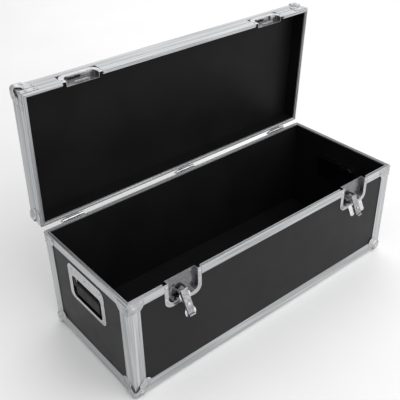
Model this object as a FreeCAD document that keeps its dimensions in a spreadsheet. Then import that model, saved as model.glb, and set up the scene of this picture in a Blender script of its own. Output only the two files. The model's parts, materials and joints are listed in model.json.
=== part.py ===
import FreeCAD, Part
import Sketcher
import math
import os
from types import SimpleNamespace

# Driving sizes of the transport case, in millimetres and degrees.
SIZES = {
    # the box
    "case_length": 830,
    "case_depth": 332,
    "base_height": 266,
    "lid_height": 50,
    "lid_open_angle": 87,
    "panel_wall": 7,
    # edge angles and rim profiles
    "angle_leg": 30,
    "angle_wall": 1.5,
    "angle_round": 1.2,
    "rim_face": 20,
    "rim_web": 4.2,
    "groove_width": 4.2,
    "groove_depth": 3,
    "tongue_width": 3,
    "tongue_height": 2.4,
    "parting_gap": 0.5,
    "rim_seam": 1,
    # ball corners
    "nose_proud": 4.4,
    "nose_size": 29,
    "nose_round": 9.5,
    "corner_reach": 44,
    "corner_wall": 1.2,
    "corner_round": 12,
    "dimple_inset": 15,
    "dimple_radius": 5,
    "dimple_depth": 2,
    "lobe_inset": 36,
    # rim braces
    "brace_reach": 40,
    "brace_drop": 29,
    "brace_shoulder": 17,
    "brace_margin": 3.5,
    "brace_wall": 1.2,
    "brace_slot": 0.8,
    # latch and keeper dishes
    "latch_inset": 141,
    "dish_width": 98,
    "dish_drop": 66,
    "dish_round": 20,
    "dish_flange": 10,
    "dish_wall": 1.2,
    "dish_depth": 12,
    "keeper_rise": 34,
    "fit_gap": 0.3,
    # latch arm, hook and butterfly
    "arm_axis_drop": 40,
    "arm_axis_depth": 4,
    "arm_hang_angle": 152,
    "arm_width": 18,
    "arm_length": 46,
    "arm_heel": 3,
    "arm_crank": 4.5,
    "arm_wall": 1.5,
    "arm_round": 5,
    "latch_pin_radius": 1.6,
    "pin_play": 0.05,
    "ear_wall": 2.4,
    "hook_width": 16,
    "hook_foot": 10,
    "hook_length": 58,
    "hook_wall": 1.8,
    "hook_set": 2.5,
    "hook_lip": 1.6,
    "hook_throat": 1.7,
    "hook_nib": 2.2,
    "hook_draw": 6,
    "turn_centre": 31,
    "hub_radius": 8,
    "hub_wall": 2.7,
    "hub_set": 2.1,
    "wing_span": 26,
    "wing_tip": 14,
    "wing_waist": 5,
    "wing_shoulder": 16,
    "wing_wall": 1.4,
    "wing_rib": 2.7,
    "spindle_radius": 2,
    "spindle_head": 3.2,
    "crank_pin_radius": 1.5,
    "crank_pin_offset": 3,
    "keeper_width": 34,
    "keeper_wall": 0.9,
    # handles
    "handle_margin": 10,
    "handle_width": 146,
    "handle_height": 98,
    "handle_round": 16,
    "handle_side_band": 14,
    "handle_top_band": 30,
    "handle_foot_band": 9,
    "handle_tray_round": 10,
    "handle_depth": 18,
    "bail_radius": 3,
    "bail_inset": 6,
    "bail_axis_depth": 9,
    "bail_axis_drop": 7,
    "grip_inset": 11,
    "grip_foot_gap": 7.3,
    "grip_head_gap": 16.7,
    "grip_wall": 14,
    "grip_round": 5,
    # hinges
    "hinge_inset": 80,
    "hinge_length": 58,
    "hinge_setback": 6.5,
    "hinge_radius": 4,
    "hinge_pin_radius": 2,
    "leaf_wall": 1.8,
    "leaf_height": 34,
    "leaf_margin": 4.4,
    "stop_reach": 10,
    "stop_wall": 2,
    "knuckle_length": 14,
    # rivets
    "rivet_radius": 3.2,
    "rivet_crown": 2,
    "rivet_height": 1.1,
}
SIDE_TURNS = {"front": 0, "right": 90, "rear": 180, "left": 270}
CORNER_OF_SIDE = {"front": "front_left", "right": "front_right", "rear": "rear_right", "left": "rear_left"}
HAND_SIGNS = {"left": -1, "right": 1}
HINGE_SIGNS = {"left": 1, "middle": 0, "right": -1}

doc = FreeCAD.newDocument("TransportCase")
sheet = doc.addObject("Spreadsheet::Sheet", "Sizes")
for row, (alias, number) in enumerate(SIZES.items(), start=1):
    sheet.set("A%d" % row, alias)
    sheet.set("B%d" % row, str(number))
    sheet.setAlias("B%d" % row, alias)
doc.recompute()
nodes = []


class Size:
    """A measure of the case: its number and the sheet expression that gives it."""

    def __init__(self, number, text):
        self.number = number
        self.text = text

    def __add__(self, other):
        return combined(self, "+", other, self.number + number_of(other))

    def __radd__(self, other):
        return combined(other, "+", self, number_of(other) + self.number)

    def __sub__(self, other):
        return combined(self, "-", other, self.number - number_of(other))

    def __rsub__(self, other):
        return combined(other, "-", self, number_of(other) - self.number)

    def __mul__(self, factor):
        return combined(self, "*", factor, self.number * number_of(factor))

    def __truediv__(self, factor):
        return combined(self, "/", factor, self.number / number_of(factor))

    def __neg__(self):
        return Size(-self.number, "(-1 * %s)" % self.text)


def number_of(item):
    return item.number if isinstance(item, Size) else item


def text_of(item):
    return item.text if isinstance(item, Size) else "(%.9f)" % item


def combined(first, sign, second, number):
    return Size(number, "(%s %s %s)" % (text_of(first), sign, text_of(second)))


def vector(x, y, z):
    return FreeCAD.Vector(number_of(x), number_of(y), number_of(z))


size = SimpleNamespace(**{alias: Size(number, "Sizes." + alias) for alias, number in SIZES.items()})

# Positions that several pieces share: x across the case, y to the rear, z up from the floor.
open_turn = math.radians(size.lid_open_angle.number)
hang_turn = math.radians(size.arm_hang_angle.number)
half_length = size.case_length / 2
latch_offset = half_length - size.latch_inset
hinge_offset = half_length - size.hinge_inset
rear_reach = size.case_depth + size.hinge_setback + size.lid_height + size.nose_proud
nib_end = size.hook_set + size.hook_wall + size.hook_throat + size.hook_lip
latch_reach = size.hook_length * math.sin(hang_turn) - nib_end * math.cos(hang_turn) - size.arm_axis_depth
front_y = (latch_reach - rear_reach) / 2
rear_y = front_y + size.case_depth
middle_y = front_y + size.case_depth / 2
floor_z = size.nose_proud
parting_z = floor_z + size.base_height
hinge_y = rear_y + size.hinge_setback
rim_width = size.panel_wall + size.angle_wall
dish_half = size.dish_width / 2
tray_half = dish_half - size.dish_flange
tray_drop = size.dish_drop - size.dish_flange
tray_rise = size.keeper_rise - size.dish_flange
cut_half = tray_half + size.dish_wall + size.fit_gap
flange_face = size.angle_wall - size.dish_wall
lid_swing = FreeCAD.Placement(
    FreeCAD.Vector(),
    FreeCAD.Rotation(FreeCAD.Vector(1, 0, 0), -size.lid_open_angle.number),
    vector(0, hinge_y, parting_z),
)


def bind(item, **sizes):
    """Ties properties of a document object to the sheet."""
    for name, value in sizes.items():
        item.setExpression(name, text_of(value))


def new_body(name):
    return doc.addObject("PartDesign::Body", name)


def hold(sketch, geometry, point, across, up):
    """Ties a sketch point to the sheet, or to an axis where it lies on one."""
    for kind, axis, place in (("DistanceX", -2, across), ("DistanceY", -1, up)):
        if number_of(place) == 0:
            sketch.addConstraint(Sketcher.Constraint("PointOnObject", geometry, point, axis))
        else:
            held = Sketcher.Constraint(kind, -1, 1, geometry, point, number_of(place))
            index = sketch.addConstraint(held)
            sketch.setExpression("Constraints[%d]" % index, text_of(place))


def new_sketch(body, role, name, shift=0):
    """An empty sketch on one of the body's own planes, moved along the plane's normal."""
    plane = next(item for item in body.Origin.OriginFeatures if item.Role == role)
    sketch = body.newObject("Sketcher::SketchObject", name)
    sketch.AttachmentSupport = [(plane, "")]
    sketch.MapMode = "FlatFace"
    sketch.setExpression("AttachmentOffset.Base.z", text_of(shift))
    return sketch


def draw_loop(sketch, corners):
    """A closed outline with every corner held."""
    first = sketch.GeometryCount
    count = len(corners)
    for index, corner in enumerate(corners):
        following = corners[(index + 1) % count]
        line = Part.LineSegment(vector(*corner, 0), vector(*following, 0))
        sketch.addGeometry(line, False)
    for index, corner in enumerate(corners):
        joined = first + (index + 1) % count
        sketch.addConstraint(Sketcher.Constraint("Coincident", first + index, 2, joined, 1))
        hold(sketch, first + index, 1, *corner)


def draw_circle(sketch, across, up, radius):
    """A circle with its centre and radius held."""
    circle = Part.Circle(vector(across, up, 0), FreeCAD.Vector(0, 0, 1), number_of(radius))
    index = sketch.addGeometry(circle, False)
    hold(sketch, index, 3, across, up)
    constraint = sketch.addConstraint(Sketcher.Constraint("Radius", index, number_of(radius)))
    sketch.setExpression("Constraints[%d]" % constraint, text_of(radius))


def loop_sketch(body, role, name, corners, shift=0):
    sketch = new_sketch(body, role, name, shift)
    draw_loop(sketch, corners)
    return sketch


def circle_sketch(body, role, name, centre, radius, shift=0):
    sketch = new_sketch(body, role, name, shift)
    draw_circle(sketch, *centre, radius)
    return sketch


def rectangle(half, low, high):
    return [(-half, low), (half, low), (half, high), (-half, high)]


def pad(body, sketch, length, turned=False, both=False):
    """Extrudes along the sketch normal, against it where turned, or equally both ways."""
    feature = body.newObject("PartDesign::Pad", sketch.Name + "Pad")
    feature.Profile = sketch
    bind(feature, Length=length)
    feature.Reversed = turned
    feature.SideType = "Symmetric" if both else "One side"
    return feature


def pocket(body, sketch, length=None, turned=False, both=False):
    """Cuts against the sketch normal, along it where turned, or right through both ways."""
    feature = body.newObject("PartDesign::Pocket", sketch.Name + "Cut")
    feature.Profile = sketch
    feature.Reversed = turned
    if length is None:
        feature.Type = "ThroughAll"
        feature.SideType = "Symmetric"
    else:
        bind(feature, Length=length)
        feature.SideType = "Symmetric" if both else "One side"
    return feature


spot_reach = size.pin_play.number


def round_edges(body, feature, radius, spots):
    """Rounds the edges whose middles lie at the given spots."""
    doc.recompute()
    names = []
    for index, edge in enumerate(feature.Shape.Edges, start=1):
        middle = edge.valueAt((edge.FirstParameter + edge.LastParameter) / 2)
        if any(middle.isEqual(vector(*spot), spot_reach) for spot in spots):
            names.append("Edge%d" % index)
    fillet = body.newObject("PartDesign::Fillet", feature.Name + "Round")
    fillet.Base = (feature, names)
    bind(fillet, Radius=radius)
    return fillet


def side_start(side):
    """The corner where a side of the case starts, with x along the side and y inwards."""
    starts = {
        "front": (-half_length, front_y),
        "right": (half_length, front_y),
        "rear": (half_length, rear_y),
        "left": (-half_length, rear_y),
    }
    turn = FreeCAD.Rotation(FreeCAD.Vector(0, 0, 1), SIDE_TURNS[side])
    return FreeCAD.Placement(vector(*starts[side], 0), turn)


def side_run(side):
    return size.case_length if side in ("front", "rear") else size.case_depth


def seat(item, side, along, inward, up, on_lid=False):
    """Places a piece drawn in a side's own frame; lid pieces follow the open lid."""
    place = side_start(side).multiply(FreeCAD.Placement(vector(along, inward, up), FreeCAD.Rotation()))
    item.Placement = lid_swing.multiply(place) if on_lid else place


def finish(item, label):
    item.Label = label
    nodes.append(item)


def group(label, members, on_lid=False):
    """Alike loose pieces that share a node."""
    compound = doc.addObject("Part::Compound", "Set")
    compound.Links = members
    if on_lid:
        compound.Placement = lid_swing
    finish(compound, label)


def mirrored(source, base, normal):
    copy = doc.addObject("Part::Mirroring", "Mirrored")
    copy.Source = source
    copy.Base = base
    copy.Normal = normal
    return copy


def four_corners(front_left):
    """The front left piece and its mirror images at the other three corners."""
    middle = vector(0, middle_y, 0)
    across = FreeCAD.Vector(1, 0, 0)
    to_rear = FreeCAD.Vector(0, 1, 0)
    front_right = mirrored(front_left, middle, across)
    rear_left = mirrored(front_left, middle, to_rear)
    rear_right = mirrored(front_right, middle, to_rear)
    return [front_left, front_right, rear_left, rear_right]


def rivet(spot, outward):
    """The head of a rivet standing on a face."""
    head = doc.addObject("Part::Cone", "Rivet")
    bind(head, Radius1=size.rivet_radius, Radius2=size.rivet_crown, Height=size.rivet_height)
    head.Placement = FreeCAD.Placement(spot, FreeCAD.Rotation(FreeCAD.Vector(0, 0, 1), outward))
    return head


def side_rivet(side, along, inward, up):
    """A rivet head on a face of one side of the case."""
    place = side_start(side)
    outward = place.Rotation.multVec(FreeCAD.Vector(0, -1, 0))
    return rivet(place.multVec(vector(along, inward, up)), outward)


# Edge angles, bent from aluminium extrusion: four mitred lengths round the floor of the base,
# four round the top of the lid and four uprights between the floor angles and the rim.
def mitred_run(name, side, section, reach):
    """A section drawn in depth and height, run along a side and mitred at both ends."""
    run = side_run(side)
    body = new_body(name)
    length = pad(body, loop_sketch(body, "YZ_Plane", name + "Section", section), run)
    mitre = new_sketch(body, "XY_Plane", name + "Mitre")
    draw_loop(mitre, [(0, 0), (reach, reach), (0, reach)])
    draw_loop(mitre, [(run, 0), (run, reach), (run - reach, reach)])
    return body, length, mitre


def l_section(tip, sign):
    """An L with its corner at the given height, one leg going inwards and one up or down."""
    leg_end = tip + size.angle_leg * sign
    inner = tip + size.angle_wall * sign
    return [
        (0, tip),
        (size.angle_leg, tip),
        (size.angle_leg, inner),
        (size.angle_wall, inner),
        (size.angle_wall, leg_end),
        (0, leg_end),
    ]


for side in SIDE_TURNS:
    body, length, mitre = mitred_run("FloorAngle", side, l_section(0, 1), size.angle_leg)
    round_edges(body, length, size.angle_round, [(side_run(side) / 2, 0, 0)])
    pocket(body, mitre)
    seat(body, side, 0, 0, floor_z)
    finish(body, "base_%s_bottom_angle" % side)

for side in SIDE_TURNS:
    tip = size.lid_height
    body, length, mitre = mitred_run("LidAngle", side, l_section(tip, -1), size.angle_leg)
    round_edges(body, length, size.angle_round, [(side_run(side) / 2, 0, tip)])
    pocket(body, mitre)
    if side == "front":
        notch = new_sketch(body, "XZ_Plane", "KeeperNotch")
        for sign in HAND_SIGNS.values():
            centre = half_length + latch_offset * sign
            low = size.rim_face - size.rim_seam
            high = size.keeper_rise + size.fit_gap
            half = dish_half + size.fit_gap
            corners = [(centre - half, low), (centre + half, low)]
            corners += [(centre + half, high), (centre - half, high)]
            draw_loop(notch, corners)
        pocket(body, notch, size.angle_wall * 2, both=True)
    seat(body, side, 0, 0, parting_z, on_lid=True)
    finish(body, "lid_%s_angle" % side)

upright_section = [
    (0, 0),
    (size.angle_leg, 0),
    (size.angle_leg, size.angle_wall),
    (size.angle_wall, size.angle_wall),
    (size.angle_wall, size.angle_leg),
    (0, size.angle_leg),
]
upright_height = size.base_height - size.angle_leg - size.rim_face
for side, corner in CORNER_OF_SIDE.items():
    body = new_body("Upright")
    length = pad(body, loop_sketch(body, "XY_Plane", "UprightSection", upright_section), upright_height)
    round_edges(body, length, size.angle_round, [(0, 0, upright_height / 2)])
    seat(body, side, 0, 0, floor_z + size.angle_leg)
    finish(body, "base_%s_corner_angle" % corner)

# Rim profiles: angles that cap the panel edges. The base has a groove between two ridges and
# the lid a tongue that drops into it. The front lengths are cut away where the latches sit.
groove_start = (rim_width - size.groove_width) / 2
groove_end = groove_start + size.groove_width
tongue_start = (rim_width - size.tongue_width) / 2
tongue_end = tongue_start + size.tongue_width
base_rim = [
    (0, -size.rim_face),
    (0, 0),
    (groove_start, 0),
    (groove_start, -size.groove_depth),
    (groove_end, -size.groove_depth),
    (groove_end, 0),
    (rim_width, 0),
    (rim_width, -size.rim_web),
    (size.angle_wall, -size.rim_web),
    (size.angle_wall, -size.rim_face),
]
lid_rim_end = size.rim_face - size.rim_seam
lid_web = size.rim_web + size.parting_gap
tongue_low = size.parting_gap - size.tongue_height
lid_rim = [
    (0, lid_rim_end),
    (0, size.parting_gap),
    (tongue_start, size.parting_gap),
    (tongue_start, tongue_low),
    (tongue_end, tongue_low),
    (tongue_end, size.parting_gap),
    (rim_width, size.parting_gap),
    (rim_width, lid_web),
    (size.angle_wall, lid_web),
    (size.angle_wall, lid_rim_end),
]
for part, section in (("base", base_rim), ("lid", lid_rim)):
    for side in SIDE_TURNS:
        body, length, mitre = mitred_run("Rim", side, section, rim_width)
        pocket(body, mitre)
        if side == "front":
            gap = new_sketch(body, "XY_Plane", "LatchGap")
            for sign in HAND_SIGNS.values():
                centre = half_length + latch_offset * sign
                half = dish_half + size.fit_gap
                outline = [(centre - half, 0), (centre + half, 0)]
                outline += [(centre + half, rim_width), (centre - half, rim_width)]
                draw_loop(gap, outline)
            pocket(body, gap)
        seat(body, side, 0, 0, parting_z, on_lid=part == "lid")
        finish(body, "%s_%s_rim" % (part, side))

# Panels of black laminated plywood, held in the angles and rims. The front ones are
# notched for the latch dishes and the ends of the base have a window for the handle dish.
handle_half = size.handle_width / 2
handle_centre = size.base_height - size.rim_face - size.handle_margin - size.handle_height / 2
handle_low = -size.handle_height / 2
handle_high = size.handle_height / 2
handle_tray_half = handle_half - size.handle_side_band
handle_tray_low = handle_low + size.handle_foot_band
handle_tray_high = handle_high - size.handle_top_band
end_trim = size.angle_wall + size.panel_wall


def panel_start(side):
    return size.angle_wall if side in ("front", "rear") else end_trim


def notched_outline(side, closed_edge, latch_edge, notch_end):
    """A panel outline, notched from its latch edge at both latches on the front."""
    start = panel_start(side)
    end = side_run(side) - start
    outline = [(start, closed_edge), (end, closed_edge), (end, latch_edge)]
    if side == "front":
        for sign in (1, -1):
            centre = half_length + latch_offset * sign
            outline += [
                (centre + cut_half, latch_edge),
                (centre + cut_half, notch_end),
                (centre - cut_half, notch_end),
                (centre - cut_half, latch_edge),
            ]
    return outline + [(start, latch_edge)]


base_notch = -(tray_drop + size.dish_wall + size.fit_gap)
lid_notch = tray_rise + size.dish_wall + size.fit_gap
panel_foot = size.angle_wall - size.base_height
panel_crown = size.lid_height - size.angle_wall
window_trim = size.dish_wall + size.fit_gap
for side in SIDE_TURNS:
    body = new_body("BasePanel")
    outline = notched_outline(side, panel_foot, -size.rim_web, base_notch)
    sketch = loop_sketch(body, "XZ_Plane", "BaseOutline", outline)
    if side in HAND_SIGNS:
        centre = size.case_depth / 2
        middle = handle_centre - size.base_height
        low = middle + handle_tray_low - window_trim
        high = middle + handle_tray_high + window_trim
        half = handle_tray_half + window_trim
        window = [(centre - half, low), (centre + half, low)]
        window += [(centre + half, high), (centre - half, high)]
        draw_loop(sketch, window)
    pad(body, sketch, size.panel_wall, turned=True)
    seat(body, side, 0, size.angle_wall, parting_z)
    finish(body, "base_%s_panel" % side)

for side in SIDE_TURNS:
    body = new_body("LidPanel")
    outline = notched_outline(side, panel_crown, lid_web, lid_notch)
    pad(body, loop_sketch(body, "XZ_Plane", "LidOutline", outline), size.panel_wall, turned=True)
    seat(body, side, 0, size.angle_wall, parting_z, on_lid=True)
    finish(body, "lid_%s_panel" % side)


def flat_panel(label, height, on_lid):
    """A floor or top panel between the four upright panels."""
    body = new_body("FlatPanel")
    far_x = size.case_length - end_trim
    far_y = size.case_depth - end_trim
    outline = [(end_trim, end_trim), (far_x, end_trim), (far_x, far_y), (end_trim, far_y)]
    pad(body, loop_sketch(body, "XY_Plane", "FlatOutline", outline), size.panel_wall)
    seat(body, "front", 0, 0, height, on_lid=on_lid)
    finish(body, label)


flat_panel("base_bottom_panel", floor_z + size.angle_wall, False)
flat_panel("lid_top_panel", parting_z + panel_crown - size.panel_wall, True)


# Ball corners, pressed from steel: a rounded nose on three flat wings, with a riveted dimple and
# a riveted lobe on every face. The case stands on the noses of the four in the base.
def ball_corner(side_reach):
    """A ball corner at the origin, with its inner faces on the three planes."""
    body = new_body("BallCorner")
    proud = size.nose_proud
    wall = size.corner_wall
    reach = size.corner_reach
    nose = size.nose_size
    square = [(-proud, -proud), (nose, -proud), (nose, nose), (-proud, nose)]
    block = pad(body, loop_sketch(body, "XY_Plane", "Nose", square, -proud), nose + proud)
    halfway = (nose - proud) / 2
    edges = [(halfway, -proud, -proud), (-proud, halfway, -proud), (-proud, -proud, halfway)]
    round_edges(body, block, size.nose_round, edges)
    start = nose - wall
    notch = [(-wall, start), (start, start), (start, -wall)]
    flat = notch + [(reach, -wall), (reach, reach), (-wall, reach)]
    upright = notch + [(reach, -wall), (reach, side_reach), (-wall, side_reach)]
    pad(body, loop_sketch(body, "XY_Plane", "FlatWing", flat), wall, turned=True)
    pad(body, loop_sketch(body, "XZ_Plane", "FrontWing", upright), wall)
    plates = pad(body, loop_sketch(body, "YZ_Plane", "EndWing", upright), wall, turned=True)
    half_wall = wall / 2
    lobes = [
        (reach, reach, -half_wall),
        (reach, -half_wall, side_reach),
        (-half_wall, reach, side_reach),
    ]
    round_edges(body, plates, size.corner_round, lobes)
    inside = [(0, 0), (nose, 0), (nose, nose), (0, nose)]
    pocket(body, loop_sketch(body, "XY_Plane", "Inside", inside), nose, turned=True)
    spot = (size.dimple_inset, size.dimple_inset)
    radius = size.dimple_radius
    depth = size.dimple_depth
    pocket(body, circle_sketch(body, "XY_Plane", "FlatDimple", spot, radius, -proud), depth, turned=True)
    pocket(body, circle_sketch(body, "XZ_Plane", "FrontDimple", spot, radius, proud), depth)
    pocket(body, circle_sketch(body, "YZ_Plane", "EndDimple", spot, radius, -proud), depth, turned=True)
    return body


def corner_rivets(place, side_lobe):
    """Rivet heads in the dimples and on the lobes of a ball corner."""
    heads = []
    lobe = size.lobe_inset
    dimple = size.dimple_inset
    sunk = size.dimple_depth - size.nose_proud
    raised = -size.corner_wall
    spots = [
        ((dimple, dimple, sunk), (0, 0, -1)),
        ((dimple, sunk, dimple), (0, -1, 0)),
        ((sunk, dimple, dimple), (-1, 0, 0)),
        ((lobe, lobe, raised), (0, 0, -1)),
        ((lobe, raised, side_lobe), (0, -1, 0)),
        ((raised, lobe, side_lobe), (-1, 0, 0)),
    ]
    for spot, outward in spots:
        heads.append(rivet(place.multVec(vector(*spot)), place.Rotation.multVec(FreeCAD.Vector(*outward))))
    return heads


base_corner_place = FreeCAD.Placement(vector(-half_length, front_y, floor_z), FreeCAD.Rotation())
lid_corner_place = FreeCAD.Placement(
    vector(-half_length, front_y, parting_z + size.lid_height),
    FreeCAD.Rotation(FreeCAD.Vector(1, 1, 0), 180),
)
base_corner = ball_corner(size.corner_reach)
base_corner.Placement = base_corner_place
group("base_ball_corners", four_corners(base_corner))
lid_corner = ball_corner(size.angle_leg)
lid_corner.Placement = lid_corner_place
group("lid_ball_corners", four_corners(lid_corner), on_lid=True)


# Rim braces: bent steel plates riveted round the rim at the four corners of the base and lid,
# slit along the bend.
def rim_brace(outline, slot_low, slot_length):
    """A brace at the origin, bent round the upright edge."""
    body = new_body("Brace")
    wall = size.brace_wall
    slot = size.brace_slot
    pad(body, loop_sketch(body, "XZ_Plane", "FrontFlange", outline), wall)
    pad(body, loop_sketch(body, "YZ_Plane", "EndFlange", outline), wall, turned=True)
    square = [(-wall, -wall), (slot, -wall), (slot, slot), (-wall, slot)]
    pocket(body, loop_sketch(body, "XY_Plane", "Slit", square, slot_low), slot_length, turned=True)
    body.Placement = FreeCAD.Placement(vector(-half_length, front_y, parting_z), FreeCAD.Rotation())
    return body


brace_shoulder = size.brace_shoulder
brace_margin = size.brace_margin
base_brace = rim_brace(
    [
        (-size.brace_wall, -size.brace_drop),
        (size.angle_leg, -size.brace_drop),
        (size.brace_reach, -brace_shoulder),
        (size.brace_reach, -brace_margin),
        (-size.brace_wall, -brace_margin),
    ],
    brace_margin - size.brace_drop,
    size.brace_drop - brace_margin * 2 - size.rim_web / 2,
)
group("base_rim_braces", four_corners(base_brace))
lid_brace = rim_brace(
    [
        (-size.brace_wall, brace_margin),
        (size.brace_reach, brace_margin),
        (size.brace_reach, brace_shoulder),
        (-size.brace_wall, brace_shoulder),
    ],
    brace_margin + size.brace_wall * 2,
    brace_shoulder - brace_margin - size.brace_wall * 4,
)
group("lid_rim_braces", four_corners(lid_brace), on_lid=True)


# Pressed steel dishes: a flat flange round a tray sunk through the panel. The latch and keeper
# dishes are open at the parting line, the handle dishes are closed all round.
def pressed_dish(name, flange, tray, depth, rounds, rounded_ends):
    """A dish in a side's frame; flange and tray are given as half width, low end and high end."""
    body = new_body(name)
    wall = size.dish_wall
    flange_half, flange_low, flange_high = flange
    half, low, high = tray
    outer_low = low - wall if "low" in rounded_ends else low
    outer_high = high + wall if "high" in rounded_ends else high
    flange_ends = {"low": flange_low, "high": flange_high}
    outer_ends = {"low": outer_low, "high": outer_high}
    tray_ends = {"low": low, "high": high}
    behind = size.angle_wall
    plate = pad(body, loop_sketch(body, "XZ_Plane", name + "Flange", rectangle(*flange), -behind), wall)
    middle = behind - wall / 2
    spots = [(flange_half * sign, middle, flange_ends[end]) for sign in (1, -1) for end in rounded_ends]
    round_edges(body, plate, rounds[0], spots)
    outer = rectangle(half + wall, outer_low, outer_high)
    pad(body, loop_sketch(body, "XZ_Plane", name + "Bowl", outer, -behind), depth, turned=True)
    inside = loop_sketch(body, "XZ_Plane", name + "Hollow", rectangle(*tray), -flange_face)
    hollow = pocket(body, inside, depth)
    middle = flange_face + depth / 2
    spots = [(half * sign, middle, tray_ends[end]) for sign in (1, -1) for end in rounded_ends]
    lined = round_edges(body, hollow, rounds[1], spots)
    middle = behind + depth / 2
    spots = [((half + wall) * sign, middle, outer_ends[end]) for sign in (1, -1) for end in rounded_ends]
    round_edges(body, lined, rounds[1] + wall, spots)
    return body


# Latch dishes with two ears that carry the pin of the swing arm.
tray_floor = flange_face + size.dish_depth
ear_start = size.arm_width / 2 + size.fit_gap
ear_end = ear_start + size.ear_wall
ear_half = size.latch_pin_radius * 2
axis_y = size.arm_axis_depth
axis_z = -size.arm_axis_drop
pin_bore = size.latch_pin_radius + size.pin_play
latch_rounds = (size.dish_round, size.dish_round - size.dish_flange / 2)
latch_pins = []
for hand, sign in HAND_SIGNS.items():
    along = half_length + latch_offset * sign
    flange = (dish_half, -size.dish_drop, 0)
    tray = (tray_half, -tray_drop, 0)
    body = pressed_dish("LatchDish", flange, tray, size.dish_depth, latch_rounds, ["low"])
    ear = [
        (axis_y - ear_half, axis_z - ear_half),
        (tray_floor, axis_z - ear_half),
        (tray_floor, axis_z + ear_half),
        (axis_y - ear_half, axis_z + ear_half),
    ]
    pad(body, loop_sketch(body, "YZ_Plane", "RightEar", ear, ear_start), size.ear_wall)
    pad(body, loop_sketch(body, "YZ_Plane", "LeftEar", ear, -ear_end), size.ear_wall)
    bore = circle_sketch(body, "YZ_Plane", "PinBore", (axis_y, axis_z), pin_bore)
    pocket(body, bore, ear_end * 2 + size.fit_gap, both=True)
    seat(body, "front", along, 0, parting_z)
    finish(body, "%s_latch_dish" % hand)
    pin = doc.addObject("Part::Cylinder", "LatchPin")
    bind(pin, Radius=size.latch_pin_radius, Height=ear_end * 2)
    pin_spot = vector(latch_offset * sign - ear_end, front_y + axis_y, parting_z + axis_z)
    pin.Placement = FreeCAD.Placement(pin_spot, FreeCAD.Rotation(FreeCAD.Vector(0, 1, 0), 90))
    latch_pins.append(pin)
group("latch_pins", latch_pins)

# Keeper dishes in the lid, each with an upturned tab that the hook of the latch catches.
tab_top = axis_z + size.hook_length - size.hook_lip - size.hook_draw - size.fit_gap
tab_foot = tab_top - size.hook_nib - size.keeper_wall - size.fit_gap
tab_face = axis_y + size.hook_set + size.hook_wall + size.fit_gap
keeper_tab = [
    (tab_face, tab_foot),
    (tray_floor, tab_foot),
    (tray_floor, tab_foot + size.keeper_wall),
    (tab_face + size.keeper_wall, tab_foot + size.keeper_wall),
    (tab_face + size.keeper_wall, tab_top),
    (tab_face, tab_top),
]
for hand, sign in HAND_SIGNS.items():
    along = half_length + latch_offset * sign
    flange = (dish_half, size.parting_gap, size.keeper_rise)
    tray = (tray_half, size.parting_gap, tray_rise)
    body = pressed_dish("KeeperDish", flange, tray, size.dish_depth, latch_rounds, ["high"])
    pad(body, loop_sketch(body, "YZ_Plane", "KeeperTab", keeper_tab), size.keeper_width, both=True)
    seat(body, "front", along, 0, parting_z, on_lid=True)
    finish(body, "%s_keeper_dish" % hand)


# Latches. Each swing arm hangs out over its dish when the latch is open. A hook slides on the arm
# and a butterfly with a crank pin draws it down in a quarter turn. The right one is already drawn.
def latch_place(sign, inward, up, turn=0):
    """The frame of a latch piece on its hanging arm."""
    hinge = vector(latch_offset * sign, front_y + axis_y, parting_z + axis_z)
    hang = FreeCAD.Rotation(FreeCAD.Vector(1, 0, 0), size.arm_hang_angle.number)
    local = FreeCAD.Placement(vector(0, inward, up), FreeCAD.Rotation(FreeCAD.Vector(0, 1, 0), turn))
    return FreeCAD.Placement(hinge, hang).multiply(local)


arm_half = size.arm_width / 2
arm_back = size.arm_crank + size.arm_wall
barrel_radius = size.latch_pin_radius * 2 - size.fit_gap
hub_face = size.hub_set - size.hub_wall
wing_face = size.hub_set - size.fit_gap
spindle_end = arm_back + size.arm_wall
slot_half = size.spindle_radius + size.fit_gap
crank_half = size.crank_pin_radius + size.fit_gap
crank_throw = size.crank_pin_offset * math.sqrt(2)
crank_slot_z = size.turn_centre + size.crank_pin_offset
hook_inner = size.hook_set + size.hook_wall
nib_start = hook_inner + size.hook_throat
lip_low = size.hook_length - size.hook_lip
hook_section = [
    (size.hook_set, size.hook_foot),
    (hook_inner, size.hook_foot),
    (hook_inner, lip_low),
    (nib_start, lip_low),
    (nib_start, lip_low - size.hook_nib),
    (nib_end, lip_low - size.hook_nib),
    (nib_end, size.hook_length),
    (size.hook_set, size.hook_length),
]
hook_slot = [
    (-slot_half, size.turn_centre - slot_half),
    (slot_half, size.turn_centre - slot_half),
    (slot_half, crank_slot_z - crank_half),
    (crank_throw + crank_half, crank_slot_z - crank_half),
    (crank_throw + crank_half, crank_slot_z + crank_half),
    (slot_half, crank_slot_z + crank_half),
    (slot_half, size.turn_centre + size.hook_draw + slot_half),
    (-slot_half, size.turn_centre + size.hook_draw + slot_half),
]
wing_outline = []
for way in (1, -1):
    wing_outline += [
        (-size.wing_waist * way, 0),
        (-size.wing_tip * way, size.wing_shoulder * way),
        (-size.wing_tip * way, size.wing_span * way),
        (size.wing_tip * way, size.wing_span * way),
        (size.wing_tip * way, size.wing_shoulder * way),
    ]
rib_half = size.wing_tip / 2
rib_start = size.wing_span - size.wing_wall
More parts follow.
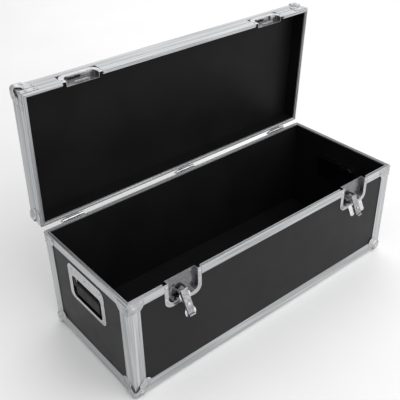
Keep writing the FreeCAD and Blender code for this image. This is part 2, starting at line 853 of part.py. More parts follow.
for hand, sign in HAND_SIGNS.items():
    drawn = hand == "right"
    body = new_body("Arm")
    plate_outline = rectangle(arm_half, -size.arm_heel, size.arm_length)
    plate_sketch = loop_sketch(body, "XZ_Plane", "ArmPlate", plate_outline, -size.arm_crank)
    plate = pad(body, plate_sketch, size.arm_wall, turned=True)
    plate_middle = size.arm_crank + size.arm_wall / 2
    tips = [(arm_half * way, plate_middle, size.arm_length) for way in (1, -1)]
    round_edges(body, plate, size.arm_round, tips)
    heel = [
        (0, -size.arm_heel),
        (arm_back, -size.arm_heel),
        (arm_back, size.arm_wall - size.arm_heel),
        (0, size.arm_wall - size.arm_heel),
    ]
    pad(body, loop_sketch(body, "YZ_Plane", "ArmHeel", heel), size.arm_width, both=True)
    barrel = circle_sketch(body, "YZ_Plane", "ArmBarrel", (0, 0), barrel_radius)
    pad(body, barrel, size.arm_width, both=True)
    pocket(body, circle_sketch(body, "YZ_Plane", "ArmBore", (0, 0), pin_bore))
    spindle_bore = size.spindle_radius + size.pin_play
    pocket(body, circle_sketch(body, "XZ_Plane", "SpindleBore", (0, size.turn_centre), spindle_bore))
    body.Placement = latch_place(sign, 0, 0)
    finish(body, "%s_latch_arm" % hand)

    body = new_body("Hook")
    pad(body, loop_sketch(body, "YZ_Plane", "HookSection", hook_section), size.hook_width, both=True)
    pocket(body, loop_sketch(body, "XZ_Plane", "HookSlot", hook_slot))
    body.Placement = latch_place(sign, 0, -size.hook_draw if drawn else 0)
    finish(body, "%s_latch_hook" % hand)

    body = new_body("Butterfly")
    pad(body, circle_sketch(body, "XZ_Plane", "Hub", (0, 0), size.hub_radius, -size.hub_set), size.hub_wall)
    wings = pad(body, loop_sketch(body, "XZ_Plane", "Wings", wing_outline, -wing_face), size.wing_wall)
    wing_middle = wing_face - size.wing_wall / 2
    tips = [(size.wing_tip * a, wing_middle, size.wing_span * b) for a in (1, -1) for b in (1, -1)]
    round_edges(body, wings, size.wing_waist, tips)
    ribs = new_sketch(body, "XZ_Plane", "Ribs", -wing_face)
    for low in (rib_start, -size.wing_span):
        draw_loop(ribs, rectangle(rib_half, low, low + size.wing_wall))
    pad(body, ribs, size.wing_wall + size.wing_rib)
    spindle = circle_sketch(body, "XZ_Plane", "Spindle", (0, 0), size.spindle_radius, -size.hub_set)
    pad(body, spindle, spindle_end - size.hub_set, turned=True)
    head_start = arm_back + size.fit_gap
    head = circle_sketch(body, "XZ_Plane", "SpindleHead", (0, 0), size.spindle_head, -head_start)
    pad(body, head, spindle_end - head_start, turned=True)
    crank_spot = (size.crank_pin_offset, size.crank_pin_offset)
    crank = circle_sketch(body, "XZ_Plane", "CrankPin", crank_spot, size.crank_pin_radius, -size.hub_set)
    pad(body, crank, size.hook_wall + size.fit_gap, turned=True)
    body.Placement = latch_place(sign, 0, size.turn_centre, 90 if drawn else 0)
    finish(body, "%s_latch_butterfly" % hand)

# Handles: a dish in each end of the base with a steel bail that hangs from the side walls of the
# tray and carries a moulded grip.
handle_rounds = (size.handle_round, size.handle_tray_round)
bail_half = handle_tray_half - size.bail_inset
bail_y = size.bail_axis_depth
bail_top = handle_tray_high - size.bail_axis_drop
grip_low = handle_tray_low + size.grip_foot_gap
grip_height = handle_tray_high - size.grip_head_gap - grip_low
bail_low = grip_low + grip_height / 3
bail_bore = size.bail_radius + size.pin_play
handle_up = floor_z + handle_centre
handle_along = size.case_depth / 2
rod_spots = [
    (bail_half, bail_top),
    (bail_half, bail_low),
    (-bail_half, bail_low),
    (-bail_half, bail_top),
]
pivot_end = handle_tray_half + size.dish_wall


def rod(name, start, end):
    """A round rod between two spots of the handle's own frame."""
    piece = doc.addObject("Part::Cylinder", name)
    head = vector(start[0], bail_y, start[1])
    run = vector(end[0], bail_y, end[1]) - head
    bind(piece, Radius=size.bail_radius)
    piece.Height = run.Length
    piece.Placement = FreeCAD.Placement(head, FreeCAD.Rotation(FreeCAD.Vector(0, 0, 1), run))
    return piece


def elbow(spot):
    piece = doc.addObject("Part::Sphere", "Elbow")
    bind(piece, Radius=size.bail_radius)
    piece.Placement.Base = vector(spot[0], bail_y, spot[1])
    return piece


for hand in HAND_SIGNS:
    flange = (handle_half, handle_low, handle_high)
    tray = (handle_tray_half, handle_tray_low, handle_tray_high)
    body = pressed_dish("HandleDish", flange, tray, size.handle_depth, handle_rounds, ["low", "high"])
    bore = circle_sketch(body, "YZ_Plane", "BailBore", (bail_y, bail_top), bail_bore)
    pocket(body, bore)
    seat(body, hand, handle_along, 0, handle_up)
    finish(body, "%s_handle_dish" % hand)

    pieces = [rod("Rod", rod_spots[index], rod_spots[index + 1]) for index in range(len(rod_spots) - 1)]
    pieces += [elbow(spot) for spot in rod_spots]
    pieces.append(rod("Pivot", rod_spots[0], (pivot_end, bail_top)))
    pieces.append(rod("Pivot", rod_spots[-1], (-pivot_end, bail_top)))
    bail = doc.addObject("Part::MultiFuse", "Bail")
    bail.Shapes = pieces
    seat(bail, hand, handle_along, 0, handle_up)
    finish(bail, "%s_handle_bail" % hand)

    grip_half = handle_tray_half - size.grip_inset
    grip_face = bail_y - size.grip_wall / 2
    body = new_body("Grip")
    outline = rectangle(grip_half, grip_low, grip_low + grip_height)
    sketch = loop_sketch(body, "XZ_Plane", "GripOutline", outline, -grip_face)
    block = pad(body, sketch, size.grip_wall, turned=True)
    faces = (grip_face, grip_face + size.grip_wall)
    ends = (grip_low, grip_low + grip_height)
    long_edges = [(0, face, end) for face in faces for end in ends]
    round_edges(body, block, size.grip_round, long_edges)
    pocket(body, circle_sketch(body, "YZ_Plane", "GripBore", (bail_y, bail_low), bail_bore))
    seat(body, hand, handle_along, 0, handle_up)
    finish(body, "%s_handle_grip" % hand)

# Hinges: three steel butts on the rear rims, each with a shelf on the base leaf that stops the
# heel of the lid leaf when the lid stands open.
axis_out = -size.hinge_setback
stop_face = -size.leaf_margin
stop_end = axis_out - size.stop_reach
hinge_half = size.hinge_length / 2
knuckle_inner = hinge_half - size.knuckle_length
lid_knuckle = knuckle_inner * 2 - size.fit_gap * 2
hinge_bore = size.hinge_pin_radius + size.pin_play
web_half = size.hinge_radius - size.fit_gap * 2
base_leaf = [
    (0, -size.leaf_height),
    (0, stop_face),
    (stop_end, stop_face),
    (stop_end, stop_face - size.stop_wall),
    (-size.leaf_wall, stop_face - size.stop_wall),
    (-size.leaf_wall, -size.leaf_height),
]
base_web = [
    (axis_out - web_half, stop_face - size.fit_gap),
    (axis_out + web_half, stop_face - size.fit_gap),
    (axis_out + web_half, 0),
    (axis_out - web_half, 0),
]
lid_link = [
    (axis_out, size.hinge_radius / 2),
    (0, size.hinge_radius / 2),
    (0, size.leaf_margin + size.leaf_wall),
    (axis_out, size.leaf_margin + size.leaf_wall),
]
heel_foot = stop_face + size.pin_play * 2


def closed_spot(out, up):
    """Where a spot given for the open lid, out from the axis and up, lies on the closed lid."""
    back = out * math.cos(open_turn) - up * math.sin(open_turn)
    rise = out * math.sin(open_turn) + up * math.cos(open_turn)
    return (axis_out - back, rise)


heel_in = size.hinge_radius - size.fit_gap * 3
lid_heel = [
    closed_spot(heel_in, heel_foot),
    closed_spot(size.stop_reach, heel_foot),
    closed_spot(size.stop_reach, 0),
    closed_spot(heel_in, 0),
]
base_leaves = []
lid_leaves = []
hinge_pins = []
for sign in HINGE_SIGNS.values():
    along = half_length + hinge_offset * sign
    body = new_body("BaseLeaf")
    pad(body, loop_sketch(body, "YZ_Plane", "BaseLeafSection", base_leaf), size.hinge_length, both=True)
    for start in (knuckle_inner, -hinge_half):
        web = loop_sketch(body, "YZ_Plane", "KnuckleWeb", base_web, start)
        pad(body, web, size.knuckle_length)
        ring = circle_sketch(body, "YZ_Plane", "Knuckle", (axis_out, 0), size.hinge_radius, start)
        pad(body, ring, size.knuckle_length)
    pocket(body, circle_sketch(body, "YZ_Plane", "LeafBore", (axis_out, 0), hinge_bore))
    seat(body, "rear", along, 0, parting_z)
    base_leaves.append(body)

    body = new_body("LidLeaf")
    plate = [
        (0, size.leaf_margin),
        (0, size.leaf_height),
        (-size.leaf_wall, size.leaf_height),
        (-size.leaf_wall, size.leaf_margin),
    ]
    pad(body, loop_sketch(body, "YZ_Plane", "LidLeafSection", plate), size.hinge_length, both=True)
    pad(body, loop_sketch(body, "YZ_Plane", "LidLink", lid_link), lid_knuckle, both=True)
    knuckle = circle_sketch(body, "YZ_Plane", "LidKnuckle", (axis_out, 0), size.hinge_radius)
    pad(body, knuckle, lid_knuckle, both=True)
    pad(body, loop_sketch(body, "YZ_Plane", "LidHeel", lid_heel), lid_knuckle, both=True)
    pocket(body, circle_sketch(body, "YZ_Plane", "LidLeafBore", (axis_out, 0), hinge_bore))
    seat(body, "rear", along, 0, parting_z)
    lid_leaves.append(body)

    pin = doc.addObject("Part::Cylinder", "HingePin")
    bind(pin, Radius=size.hinge_pin_radius, Height=size.hinge_length)
    pin_spot = vector(hinge_offset * -sign - hinge_half, hinge_y, parting_z)
    pin.Placement = FreeCAD.Placement(pin_spot, FreeCAD.Rotation(FreeCAD.Vector(0, 1, 0), 90))
    hinge_pins.append(pin)
group("base_hinge_leaves", base_leaves)
group("lid_hinge_leaves", lid_leaves, on_lid=True)
group("hinge_pins", hinge_pins)

# Rivets, drawn as heads on the faces they hold: ball corners, braces, dishes and hinge leaves.
brace_face = -size.brace_wall
near_rivet = size.brace_reach / 3
far_rivet = size.brace_reach - size.rivet_radius * 2
base_heads = []
lid_heads = []
base_corner_heads = corner_rivets(base_corner_place, size.lobe_inset)
lid_corner_heads = corner_rivets(lid_corner_place, size.angle_leg - size.rivet_radius * 2)
for along, drop in ((near_rivet, size.rim_face - size.rivet_radius), (far_rivet, size.rim_face / 2)):
    base_corner_heads.append(side_rivet("front", along, brace_face, parting_z - drop))
    base_corner_heads.append(side_rivet("left", size.case_depth - along, brace_face, parting_z - drop))
    rise = size.rim_face / 2
    lid_corner_heads.append(side_rivet("front", along, brace_face, parting_z + rise))
    lid_corner_heads.append(side_rivet("left", size.case_depth - along, brace_face, parting_z + rise))
for heads, corner_heads in ((base_heads, base_corner_heads), (lid_heads, lid_corner_heads)):
    for head in corner_heads:
        heads.extend(four_corners(head))
dish_rivet = dish_half - size.dish_flange / 2
for sign in HAND_SIGNS.values():
    centre = half_length + latch_offset * sign
    for way in (1, -1):
        along = centre + dish_rivet * way
        for drop in (size.dish_flange, size.dish_drop - size.dish_round - size.rivet_radius):
            base_heads.append(side_rivet("front", along, flange_face, parting_z - drop))
        lid_heads.append(side_rivet("front", along, flange_face, parting_z + size.dish_flange))
handle_rivet = handle_half - size.handle_round
top_row = handle_up + handle_high - size.handle_top_band / 2
foot_row = handle_up + handle_low + size.handle_foot_band / 2
for hand in HAND_SIGNS:
    for way in (1, 0, -1):
        base_heads.append(side_rivet(hand, handle_along + handle_rivet * way, flange_face, top_row))
    for way in (1, -1):
        base_heads.append(side_rivet(hand, handle_along + handle_rivet * way, flange_face, foot_row))
leaf_row = (size.leaf_height + size.leaf_margin) / 2
for sign in HINGE_SIGNS.values():
    centre = half_length + hinge_offset * sign
    for way in (1, 0, -1):
        along = centre + knuckle_inner * way
        base_heads.append(side_rivet("rear", along, -size.leaf_wall, parting_z - leaf_row - size.stop_wall))
        lid_heads.append(side_rivet("rear", along, -size.leaf_wall, parting_z + leaf_row))
group("base_rivets", base_heads)
group("lid_rivets", lid_heads, on_lid=True)

doc.recompute()
for item in doc.Objects:
    if "Invalid" in item.State or "Error" in item.State:
        raise RuntimeError("%s is not right: %s" % (item.Label, item.State))
os.makedirs("parts", exist_ok=True)
for item in nodes:
    if item.Shape.isNull() or not item.Shape.isValid():
        raise RuntimeError("%s has no valid shape" % item.Label)
    item.Shape.exportStep("parts/%s.step" % item.Label)
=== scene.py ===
import json
import math

import bmesh
import bpy
from mathutils import Matrix, Vector

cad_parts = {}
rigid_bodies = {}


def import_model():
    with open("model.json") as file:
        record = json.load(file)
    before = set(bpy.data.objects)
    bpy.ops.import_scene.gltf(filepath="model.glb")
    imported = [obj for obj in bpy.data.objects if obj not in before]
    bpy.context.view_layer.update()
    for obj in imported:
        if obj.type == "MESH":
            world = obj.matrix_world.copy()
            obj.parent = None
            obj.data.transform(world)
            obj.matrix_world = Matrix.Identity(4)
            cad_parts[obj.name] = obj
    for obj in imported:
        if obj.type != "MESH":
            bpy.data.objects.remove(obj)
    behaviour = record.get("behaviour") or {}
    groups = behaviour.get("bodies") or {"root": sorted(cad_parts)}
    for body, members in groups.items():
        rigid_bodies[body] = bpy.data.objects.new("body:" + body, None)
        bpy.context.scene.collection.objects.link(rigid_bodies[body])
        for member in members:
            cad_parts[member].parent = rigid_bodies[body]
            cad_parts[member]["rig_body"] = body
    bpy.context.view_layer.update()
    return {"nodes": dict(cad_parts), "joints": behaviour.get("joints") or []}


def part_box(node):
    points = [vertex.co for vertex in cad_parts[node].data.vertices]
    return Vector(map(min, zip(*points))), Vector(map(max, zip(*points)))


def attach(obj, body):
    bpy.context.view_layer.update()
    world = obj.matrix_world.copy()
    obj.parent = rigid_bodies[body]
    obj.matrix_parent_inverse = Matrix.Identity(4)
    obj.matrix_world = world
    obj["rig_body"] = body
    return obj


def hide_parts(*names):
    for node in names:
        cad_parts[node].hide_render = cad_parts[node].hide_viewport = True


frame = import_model()

# Base panels: thin birch plywood faced both sides with a black laminate that has a fine
# embossed grain. The sheets stand in the aluminium edging and are held by its rivets.
laminate_black = (0.0060, 0.0060, 0.0066)
laminate_rubbed = (0.0085, 0.0085, 0.0092)


def new_finish(name, colour, metal, rough):
    finish = bpy.data.materials.new(name)
    finish.use_nodes = True
    tree = finish.node_tree
    shader = tree.nodes["Principled BSDF"]
    shader.inputs["Base Color"].default_value = (*colour, 1)
    shader.inputs["Metallic"].default_value = metal
    shader.inputs["Roughness"].default_value = rough
    place = tree.nodes.new("ShaderNodeTexCoord").outputs["Object"]
    return finish, tree, shader, place


def grain(tree, place, scale, stretch=(1, 1, 1), turn=(0, 0, 0), detail=4):
    mapping = tree.nodes.new("ShaderNodeMapping")
    mapping.vector_type = "TEXTURE"
    mapping.inputs["Rotation"].default_value = turn
    mapping.inputs["Scale"].default_value = stretch
    noise = tree.nodes.new("ShaderNodeTexNoise")
    noise.inputs["Scale"].default_value = scale
    noise.inputs["Detail"].default_value = detail
    tree.links.new(place, mapping.inputs["Vector"])
    tree.links.new(mapping.outputs["Vector"], noise.inputs["Vector"])
    return noise.outputs["Fac"]


def tint(tree, shader, pattern, dark, light, low=0.35, high=0.65):
    ramp = tree.nodes.new("ShaderNodeValToRGB")
    ramp.color_ramp.elements[0].position = low
    ramp.color_ramp.elements[1].position = high
    ramp.color_ramp.elements[0].color = (*dark, 1)
    ramp.color_ramp.elements[1].color = (*light, 1)
    tree.links.new(pattern, ramp.inputs["Fac"])
    tree.links.new(ramp.outputs["Color"], shader.inputs["Base Color"])


def roughen(tree, shader, pattern, smooth, rough):
    spread = tree.nodes.new("ShaderNodeMapRange")
    spread.inputs["From Min"].default_value = 0.3
    spread.inputs["From Max"].default_value = 0.7
    spread.inputs["To Min"].default_value = smooth
    spread.inputs["To Max"].default_value = rough
    tree.links.new(pattern, spread.inputs["Value"])
    tree.links.new(spread.outputs["Result"], shader.inputs["Roughness"])


def emboss(tree, shader, pattern, strength, depth):
    bump = tree.nodes.new("ShaderNodeBump")
    bump.inputs["Strength"].default_value = strength
    bump.inputs["Distance"].default_value = depth
    tree.links.new(pattern, bump.inputs["Height"])
    tree.links.new(bump.outputs["Normal"], shader.inputs["Normal"])


def dress(finish, slot, *names):
    """Gives solids that are shown as they are their finish."""
    for name in names:
        node = frame["nodes"][name]
        for holder in node.material_slots:
            holder.material = finish


def laminate(name, shine):
    finish, tree, shader, place = new_finish(name, laminate_black, 0, 0.42)
    shader.inputs["Specular IOR Level"].default_value = shine
    tint(tree, shader, grain(tree, place, 9), laminate_black, laminate_rubbed)
    roughen(tree, shader, grain(tree, place, 26), 0.39, 0.45)
    emboss(tree, shader, grain(tree, place, 900, detail=2), 0.25, 0.0003)
    return finish


base_laminate = laminate("base_laminate", 0.19)
dress(base_laminate, "black_laminate", "base_bottom_panel", "base_front_panel", "base_rear_panel",
      "base_left_panel", "base_right_panel")

# Base edging: extruded aluminium angle, mill finish, cut to length and riveted over the panels'
# edges. The die leaves fine lines along each length.
aluminium_bright = (0.60, 0.61, 0.62)
aluminium_dull = (0.32, 0.33, 0.34)
edge_break = 0.0003


def extrusion(name, along, turn=(0, 0, 0)):
    finish, tree, shader, place = new_finish(name, aluminium_bright, 0.7, 0.3)
    stretch = [1, 1, 1]
    stretch[along] = 90
    lines = grain(tree, place, 420, stretch, turn, detail=3)
    tint(tree, shader, lines, aluminium_dull, aluminium_bright)
    roughen(tree, shader, grain(tree, place, 30, stretch, turn), 0.30, 0.45)
    emboss(tree, shader, lines, 0.20, 0.0002)
    return finish


def shown(name, form, finish):
    """Makes a finished form an object of the scene, smoothly shaded."""
    mesh = bpy.data.meshes.new(name)
    for face in form.faces:
        face.smooth = True
    form.to_mesh(mesh)
    form.free()
    mesh.materials.append(finish)
    piece = bpy.data.objects.new(name, mesh)
    bpy.context.collection.objects.link(piece)
    return piece


def eased(node, name, width, finish, steps=2, sharp=35):
    """A copy of a solid with its sharp edges eased, in place of the solid."""
    solid = frame["nodes"][node]
    form = bmesh.new()
    form.from_mesh(solid.data)
    bmesh.ops.remove_doubles(form, verts=form.verts, dist=0.000001)
    flat = math.radians(0.5)
    bmesh.ops.dissolve_limit(form, angle_limit=flat, verts=form.verts, edges=form.edges)
    corners = [e for e in form.edges if e.calc_face_angle(0) > math.radians(sharp)]
    bmesh.ops.bevel(form, geom=corners, offset=width, offset_type="OFFSET", segments=steps,
                    profile=0.5, affect="EDGES", clamp_overlap=False, material=-1)
    piece = shown(name, form, finish)
    shading = piece.modifiers.new("even_shading", "WEIGHTED_NORMAL")
    shading.mode = "FACE_AREA"
    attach(piece, solid["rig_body"])
    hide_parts(node)
    return piece


def trim_edging(finish, *names):
    """Breaks the edges of lengths of aluminium and gives them their finish."""
    for name in names:
        eased(name, name + "_extruded", edge_break, finish)


lengthwise = extrusion("aluminium_along_the_length", 0)
crosswise = extrusion("aluminium_along_the_depth", 1)
upright = extrusion("aluminium_upright", 2)
trim_edging(lengthwise, "base_front_bottom_angle", "base_rear_bottom_angle")
trim_edging(crosswise, "base_left_bottom_angle", "base_right_bottom_angle")
trim_edging(upright, "base_front_left_corner_angle", "base_front_right_corner_angle",
            "base_rear_left_corner_angle", "base_rear_right_corner_angle")

# Base rims: the grooved half of the lid joint, extruded aluminium mitred at the corners, with
# a channel along the top that takes the lid's tongue.
trim_edging(lengthwise, "base_front_rim", "base_rear_rim")
trim_edging(crosswise, "base_left_rim", "base_right_rim")

# Ball corners: pressed steel, zinc plated. A hollow dome stands proud of the case's corner, open
# over each edge, and runs out on every face into a petal with a rivet at its tip and another in a
# dimple of the dome.
zinc_light = (0.58, 0.58, 0.59)
zinc_dark = (0.38, 0.38, 0.39)
corner_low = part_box("base_front_bottom_angle")[0]
corner_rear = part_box("base_rear_bottom_angle")[1].y
corner_high = Vector((-corner_low.x, corner_rear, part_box("base_front_rim")[1].z))
dome_proud = corner_low.z
dome_round = 0.0095
dome_reach = 0.028
dome_foot = 0.035
petal_reach = 0.044
petal_wall = 0.0012
petal_lobe = (0.030, 0.0141)
lobe_step = math.radians(15)
edge_opening = 0.020
dimple_spot = 0.015
dimple_round = 0.005
dimple_depth = 0.002
blank_cuts = 39


def zinc_plate(name):
    finish, tree, shader, place = new_finish(name, zinc_light, 1, 0.3)
    tint(tree, shader, grain(tree, place, 60), zinc_dark, zinc_light)
    roughen(tree, shader, grain(tree, place, 110), 0.20, 0.36)
    emboss(tree, shader, grain(tree, place, 500), 0.10, 0.0002)
    return finish


def fade(value, low, high):
    share = min(max((value - low) / (high - low), 0), 1)
    return share * share * (3 - 2 * share)


def press_corner(vert):
    """Presses one point of a blank cube corner into the dome, the dimples and the petals."""
    blank = vert.co.copy()
    face = min(range(3), key=lambda axis: blank[axis])
    across, along = [axis for axis in range(3) if axis != face]
    core = Vector([max(c, dome_round - dome_proud) for c in blank])
    vert.co = core + (blank - core).normalized() * dome_round
    run = math.hypot(blank[across], blank[along])
    dimple = math.hypot(blank[across] - dimple_spot, blank[along] - dimple_spot)
    sink = (dome_proud - petal_wall) * fade(run, dome_reach, dome_foot)
    sink = max(sink, dimple_depth * (1 - fade(dimple, dimple_round * 0.55, dimple_round * 1.1)))
    vert.co[face] += sink


def cut_off(form, spot, lean):
    """Cuts off what lies past a plane through a spot."""
    everything = form.verts[:] + form.edges[:] + form.faces[:]
    bmesh.ops.bisect_plane(form, geom=everything, plane_co=spot, plane_no=lean, clear_outer=True)


def corner_blank(lobes):
    """One corner at the origin with its inside towards +x +y +z, ready to be set in place.

    Each lobe is a petal's round end: how far its centre lies from both edges, and its radius.
    """
    form = bmesh.new()
    bmesh.ops.create_cube(form, size=1)
    inner = [face for face in form.faces if max(face.normal) > 0.5]
    bmesh.ops.delete(form, geom=inner, context="FACES")
    bmesh.ops.subdivide_edges(form, edges=form.edges[:], cuts=blank_cuts, use_grid_fill=True)
    diagonal = Vector((1, 1, 1))
    bmesh.ops.scale(form, verts=form.verts, vec=diagonal * (petal_reach + dome_proud))
    bmesh.ops.translate(form, verts=form.verts, vec=diagonal * (petal_reach - dome_proud) / 2)
    for vert in form.verts:
        press_corner(vert)
    for axis in range(3):
        lean = -diagonal
        lean[axis] = 1
        cut_off(form, [edge_opening if a == axis else 0 for a in range(3)], lean)
    for axis, (lobe, lobe_round) in enumerate(lobes):
        for step in range(-5, 6):
            swing = math.radians(45) + lobe_step * step
            lean = Vector((0, math.cos(swing), math.sin(swing)))
            spot = Vector((0, lobe, lobe)) + lean * lobe_round
            lean.x = -1
            on_face = [[way[a - axis] for a in range(3)] for way in (spot, lean)]
            cut_off(form, *on_face)
    return form


def corner_set(name, blank, height, rise, swing):
    """Four corners at one height of the case, mirrored from one blank."""
    whole = bmesh.new()
    for x, flip_x in ((corner_low.x, 1), (corner_high.x, -1)):
        for y, flip_y in ((corner_low.y, 1), (corner_high.y, -1)):
            mesh = bpy.data.meshes.new("corner")
            one = blank.copy()
            seat = Matrix.Translation((x, y, height)) @ Matrix.Diagonal((flip_x, flip_y, rise, 1))
            bmesh.ops.transform(one, matrix=swing @ seat, verts=one.verts)
            if flip_x * flip_y * rise < 0:
                bmesh.ops.reverse_faces(one, faces=one.faces)
            one.to_mesh(mesh)
            one.free()
            whole.from_mesh(mesh)
            bpy.data.meshes.remove(mesh)
    piece = shown(name, whole, pressed_zinc)
    wall = piece.modifiers.new("wall", "SOLIDIFY")
    wall.thickness = petal_wall
    wall.offset = -1
    return piece


pressed_zinc = zinc_plate("pressed_zinc_plate")
base_blank = corner_blank([petal_lobe] * 3)
base_corners = corner_set("base_corner_domes", base_blank, corner_low.z, 1, Matrix.Identity(4))
base_blank.free()
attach(base_corners, "base")
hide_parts("base_ball_corners")

# Rim braces: bent steel plates round the corners of the rims, slit along the bend, zinc plated
# like the ball corners and riveted through the rim.
for node in ("base_rim_braces", "lid_rim_braces"):
    eased(node, node + "_bent", edge_break, pressed_zinc)

# Latch dishes, keeper dishes and handle dishes: deep-drawn steel trays with bright plating, their
# lips rolled over and their flanges riveted to the panels.
plate_light = (0.57, 0.57, 0.58)
plate_dark = (0.42, 0.42, 0.43)
# The deep colour is painted shade, multiplied into the plating where a tray lies deep behind its
# flange.
plate_painted_shade = (0.38, 0.38, 0.39)
lip_ease = 0.0004
flange_wall = 0.001
lid_axis = Vector(next(j["pos_m"] for j in frame["joints"] if j["name"] == "lid_turn"))
lid_lean = math.radians(-87)
lid_tilt = Matrix.Rotation(lid_lean, 4, "X")
lid_swing = Matrix.Translation(lid_axis) @ lid_tilt @ Matrix.Translation(-lid_axis)
front_way = Vector((0, -1, 0))
left_way = Vector((-1, 0, 0))


def dish_plate_with_painted_shade(name):
    """Bright plating, darker deeper in the tray as painted shade, and more wrinkled the deeper the
    tray was drawn.
    """
    finish, tree, shader, place = new_finish(name, plate_light, 1, 0.1)
    tint(tree, shader, grain(tree, place, 160), plate_dark, plate_light)
    roughen(tree, shader, grain(tree, place, 80), 0.10, 0.24)
    drawn = tree.nodes.new("ShaderNodeAttribute")
    drawn.attribute_name = "drawn"
    # Painted shade: the plating's colour is multiplied darker the deeper a point lies behind the
    # flange.
    painted_recess_shade = tree.nodes.new("ShaderNodeMix")
    painted_recess_shade.data_type = "RGBA"
    painted_recess_shade.blend_type = "MULTIPLY"
    painted_recess_shade.inputs["B"].default_value = (*plate_painted_shade, 1)
    colour = shader.inputs["Base Color"].links[0].from_socket
    tree.links.new(drawn.outputs["Fac"], painted_recess_shade.inputs["Factor"])
    tree.links.new(colour, painted_recess_shade.inputs["A"])
    tree.links.new(painted_recess_shade.outputs["Result"], shader.inputs["Base Color"])
    wrinkle = tree.nodes.new("ShaderNodeMath")
    wrinkle.operation = "MULTIPLY"
    tree.links.new(drawn.outputs["Fac"], wrinkle.inputs[0])
    tree.links.new(grain(tree, place, 75, detail=1), wrinkle.inputs[1])
    emboss(tree, shader, wrinkle.outputs["Value"], 0.6, 0.0022)
    return finish


def mark_draw(piece, outward):
    """Marks how far each point of a tray lies behind its flange, from 0 to 1."""
    mesh = piece.data
    stands = [vert.co.dot(outward) for vert in mesh.vertices]
    front, back = max(stands), min(stands)
    depth = mesh.attributes.new("drawn", "FLOAT", "POINT")
    for index, stand in enumerate(stands):
        depth.data[index].value = fade(front - stand, flange_wall, front - back)


dish_plate = dish_plate_with_painted_shade("dish_plate_painted_shade")
lid_front_way = lid_tilt.to_3x3() @ front_way
for node, outward in (("left_latch_dish", front_way), ("right_latch_dish", front_way),
                      ("left_keeper_dish", lid_front_way), ("right_keeper_dish", lid_front_way),
                      ("left_handle_dish", left_way), ("right_handle_dish", -left_way)):
    tray = eased(node, node + "_drawn", lip_ease, dish_plate, 3)
    mark_draw(tray, outward)

# Latches: an arm that swings on the dish's pin, a draw hook that slides on it and a butterfly that
# turns a quarter to draw the hook. All are stamped steel, the arm and hook plated grey and the
# butterfly bright.
latch_light = (0.30, 0.30, 0.31)
latch_dark = (0.18, 0.18, 0.19)
wing_light = (0.52, 0.52, 0.53)
wing_dark = (0.38, 0.38, 0.39)


def stamped_plate(name, dark, light):
    finish, tree, shader, place = new_finish(name, light, 1, 0.26)
    tint(tree, shader, grain(tree, place, 160), dark, light)
    roughen(tree, shader, grain(tree, place, 80), 0.18, 0.32)
    emboss(tree, shader, grain(tree, place, 120), 0.10, 0.0005)
    return finish


latch_plate = stamped_plate("latch_plate", latch_dark, latch_light)
wing_plate = stamped_plate("wing_plate", wing_dark, wing_light)
for hand in ("left", "right"):
    for part, finish in (("arm", latch_plate), ("hook", latch_plate), ("butterfly", wing_plate)):
        node = hand + "_latch_" + part
        eased(node, node + "_stamped", edge_break, finish)
dress(pressed_zinc, "zinc_plated_steel", "latch_pins")

# Handle bails: steel rod bent into a hoop, plated like the latch arms. Their ends are sprung into
# the side walls of the handle dishes, where they swing.
dress(latch_plate, "bright_plated_steel", "left_handle_bail", "right_handle_bail")

# Handle grips: thick black rubber sleeves with rounded edges and a fine matt skin, moulded onto the
# middle of the bails.
grip_black = (0.006, 0.006, 0.006)
grip_worn = (0.012, 0.012, 0.012)
grip_ease = 0.0015
grip_rubber, tree, shader, place = new_finish("grip_rubber", grip_black, 0, 0.6)
shader.inputs["Specular IOR Level"].default_value = 0.2
tint(tree, shader, grain(tree, place, 40), grip_black, grip_worn)
roughen(tree, shader, grain(tree, place, 70), 0.45, 0.65)
emboss(tree, shader, grain(tree, place, 700), 0.3, 0.0004)
for node in ("left_handle_grip", "right_handle_grip"):
    eased(node, node + "_moulded", grip_ease, grip_rubber, 3)

# Hinges: three folded steel butts, zinc plated and riveted to the rear rims. A shelf on each base
# leaf stops the open lid, and a steel pin runs through the knuckles.
for node in ("base_hinge_leaves", "lid_hinge_leaves"):
    eased(node, node + "_folded", edge_break, pressed_zinc)
dress(pressed_zinc, "zinc_plated_steel", "hinge_pins")

# Lid: a shallow tray of the same plywood in the same riveted edging, standing open on the hinges.
# Its laminate is given less shine than the base's as painted shade, and its rims carry the tongue
# of the lid joint.
# The lid's laminate is the base's laminate with lower shine, which is painted shade on the lid.
lid_laminate_painted_shade = laminate("lid_laminate_painted_shade", 0.10)
dress(lid_laminate_painted_shade, "black_laminate", "lid_top_panel", "lid_front_panel", "lid_rear_panel",
      "lid_left_panel", "lid_right_panel")
lid_upright = extrusion("aluminium_along_the_open_lid", 1, (lid_lean, 0, 0))
trim_edging(lengthwise, "lid_front_angle", "lid_rear_angle", "lid_front_rim", "lid_rear_rim")
trim_edging(lid_upright, "lid_left_angle", "lid_right_angle", "lid_left_rim", "lid_right_rim")

# Lid ball corners: the same zinc plated pressings, with their petals cut short on the lid's low
# sides to clear the rims, and riveted on in the same way.
lid_height = 0.050
low_lobe = (0.027, 0.0135)
low_reach = 0.0295
lid_blank = corner_blank((low_lobe, low_lobe, petal_lobe))
cut_off(lid_blank, (0, 0, low_reach), (0, 0, 1))
lid_corners = corner_set("lid_corner_domes", lid_blank, corner_high.z + lid_height, -1, lid_swing)
lid_blank.free()
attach(lid_corners, "lid")
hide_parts("lid_ball_corners")

# Rivets: zinc plated steel with a low crowned head, set through every fitting into the panel or
# the rim behind it.
dress(pressed_zinc, "zinc_plated_steel", "base_rivets", "lid_rivets")

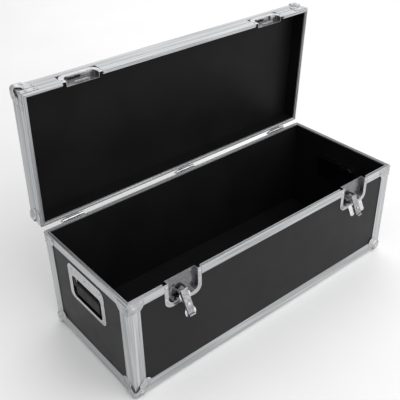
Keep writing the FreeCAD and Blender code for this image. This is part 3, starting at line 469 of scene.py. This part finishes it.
# Floor: a plain pale sheet of paper, wide enough to run out of every view. It isn't part of the
# case.
floor_size = 12
paper_white = (0.93, 0.93, 0.93)
floor_mesh = bpy.data.meshes.new("floor")
form = bmesh.new()
bmesh.ops.create_grid(form, x_segments=1, y_segments=1, size=floor_size)
form.to_mesh(floor_mesh)
form.free()
floor = bpy.data.objects.new("floor", floor_mesh)
bpy.context.collection.objects.link(floor)
paper, tree, shader, place = new_finish("floor_paper", paper_white, 0, 0.7)
tint(tree, shader, grain(tree, place, 3), (0.92, 0.92, 0.92), (0.94, 0.94, 0.94))
floor_mesh.materials.append(paper)

# Light: an evenly lit grey room, with one wide soft box behind the case that draws its upper edges
# and a wider one in front that lights the latches and the front panel.
room_light = 0.66
room = bpy.data.worlds.new("studio")
bpy.context.scene.world = room
room.use_nodes = True
walls = room.node_tree.nodes["Background"]
walls.inputs["Color"].default_value = (1, 1, 1, 1)
walls.inputs["Strength"].default_value = room_light


def soft_box(name, place, target, size, power):
    light = bpy.data.lights.new(name, "AREA")
    light.shape = "SQUARE"
    light.size = size
    light.energy = power
    lamp = bpy.data.objects.new(name, light)
    aim = (Vector(target) - Vector(place)).to_track_quat("-Z", "Y")
    lamp.matrix_world = Matrix.Translation(place) @ aim.to_matrix().to_4x4()
    bpy.context.collection.objects.link(lamp)


soft_box("back_box", (1.7, 2.0, 2.1), (0, 0, 0.3), size=3.2, power=24)
soft_box("front_box", (1.0, -2.8, 2.5), (0, 0, 0.2), size=5.0, power=116)

# Camera: the photograph's own viewpoint, fitted to the corners of the base and the lid. The focal
# length is in pixels of a picture 400 wide.
picture_width = 400
focal_pixels = 658.31
eye = Vector((-0.90468, -1.01913, 1.14344))
right = Vector((0.76988, -0.63797, -0.01666))
down = Vector((-0.36049, -0.41319, -0.83626))
forward = Vector((0.52662, 0.64982, -0.54808))
lens = bpy.data.cameras.new("photo_camera")
lens.sensor_width = 36
lens.lens = focal_pixels * lens.sensor_width / picture_width
camera = bpy.data.objects.new("photo_camera", lens)
turn = Matrix((right, -down, -forward)).transposed().to_4x4()
camera.matrix_world = Matrix.Translation(eye) @ turn
bpy.context.collection.objects.link(camera)
bpy.context.scene.camera = camera
bpy.context.scene.view_settings.view_transform = "Standard"
